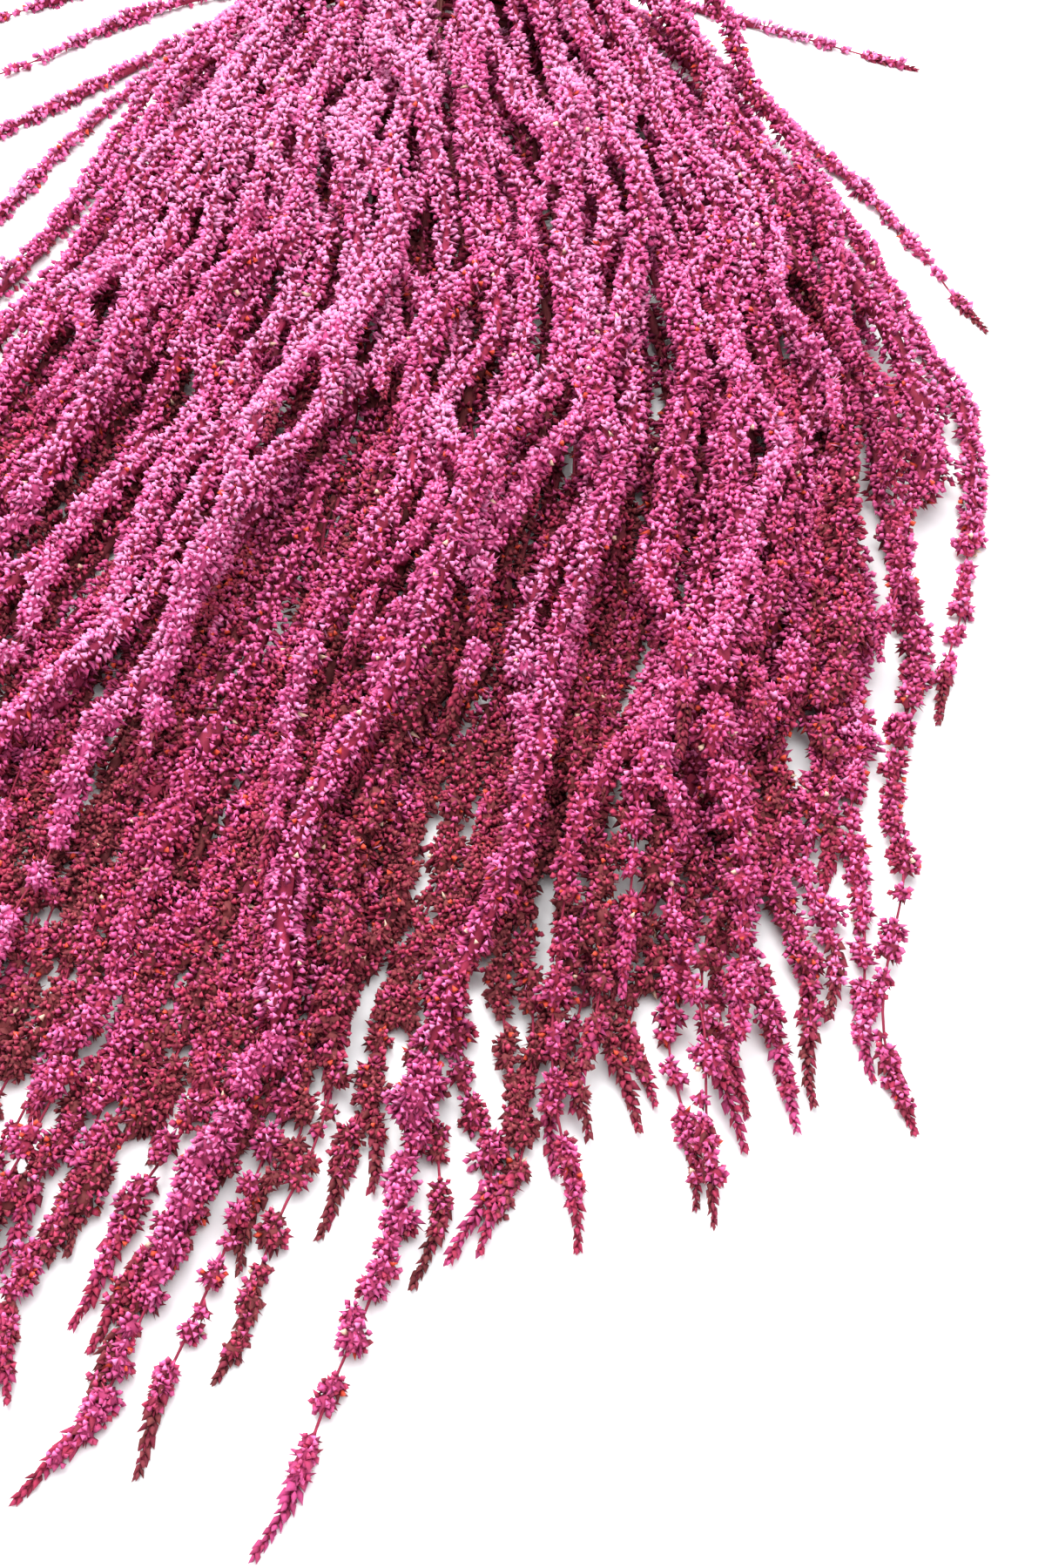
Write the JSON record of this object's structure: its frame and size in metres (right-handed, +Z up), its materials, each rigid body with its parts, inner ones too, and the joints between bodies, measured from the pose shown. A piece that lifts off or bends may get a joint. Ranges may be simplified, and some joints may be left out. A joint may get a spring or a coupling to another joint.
{
  "type": "amaranth seed head",
  "caption": "Drooping amaranth seed head, cut and dried: a ribbed stem with long cord-like tassels of small florets that spread in a flat fan, lying on its side.",
  "frame": {"origin": "on the surface it lies on, under the middle of the whole head", "axes": "+Y along the stem towards its cut end, -Y towards the tassel tips, +X to the right seen from the tips, +Z up from the surface"},
  "size_m": [0.448, 0.9474, 0.0634],
  "materials": {
    "stem": "matte, dry, ribbed",
    "lower_florets": "matte, dry, grainy",
    "upper_florets": "matte, dry, grainy"
  },
  "bodies": {
    "root": {"stem": "stem", "lower_tassel_01": "lower_florets", "lower_tassel_02": "lower_florets", "lower_tassel_03": "lower_florets", "lower_tassel_04": "lower_florets", "lower_tassel_05": "lower_florets", "lower_tassel_06": "lower_florets", "lower_tassel_07": "lower_florets", "lower_tassel_08": "lower_florets", "lower_tassel_09": "lower_florets", "lower_tassel_10": "lower_florets", "lower_tassel_11": "lower_florets", "lower_tassel_12": "lower_florets", "lower_tassel_13": "lower_florets", "lower_tassel_14": "lower_florets", "lower_tassel_15": "lower_florets", "lower_tassel_16": "lower_florets", "lower_tassel_17": "lower_florets", "lower_tassel_18": "lower_florets", "lower_tassel_19": "lower_florets", "lower_tassel_20": "lower_florets", "lower_tassel_21": "lower_florets", "lower_tassel_22": "lower_florets", "lower_tassel_23": "lower_florets", "lower_tassel_24": "lower_florets", "lower_tassel_25": "lower_florets", "lower_tassel_26": "lower_florets", "outer_tassel_01": "lower_florets", "outer_tassel_02": "lower_florets", "outer_tassel_03": "lower_florets", "outer_tassel_04": "lower_florets", "outer_tassel_05": "lower_florets", "outer_tassel_06": "lower_florets", "outer_tassel_07": "lower_florets", "outer_tassel_08": "lower_florets", "outer_tassel_09": "lower_florets", "upper_tassel_01": "upper_florets", "upper_tassel_02": "upper_florets", "upper_tassel_03": "upper_florets", "upper_tassel_04": "upper_florets", "upper_tassel_05": "upper_florets", "upper_tassel_06": "upper_florets", "upper_tassel_07": "upper_florets", "upper_tassel_08": "upper_florets", "upper_tassel_09": "upper_florets", "upper_tassel_10": "upper_florets", "upper_tassel_11": "upper_florets", "upper_tassel_12": "upper_florets", "upper_tassel_13": "upper_florets", "upper_tassel_14": "upper_florets", "upper_tassel_15": "upper_florets", "upper_tassel_16": "upper_florets", "upper_tassel_17": "upper_florets", "upper_tassel_18": "upper_florets", "upper_tassel_19": "upper_florets", "upper_tassel_20": "upper_florets", "upper_tassel_21": "upper_florets", "upper_tassel_22": "upper_florets", "upper_tassel_23": "upper_florets", "upper_tassel_24": "upper_florets"}
  },
  "joints": []
}
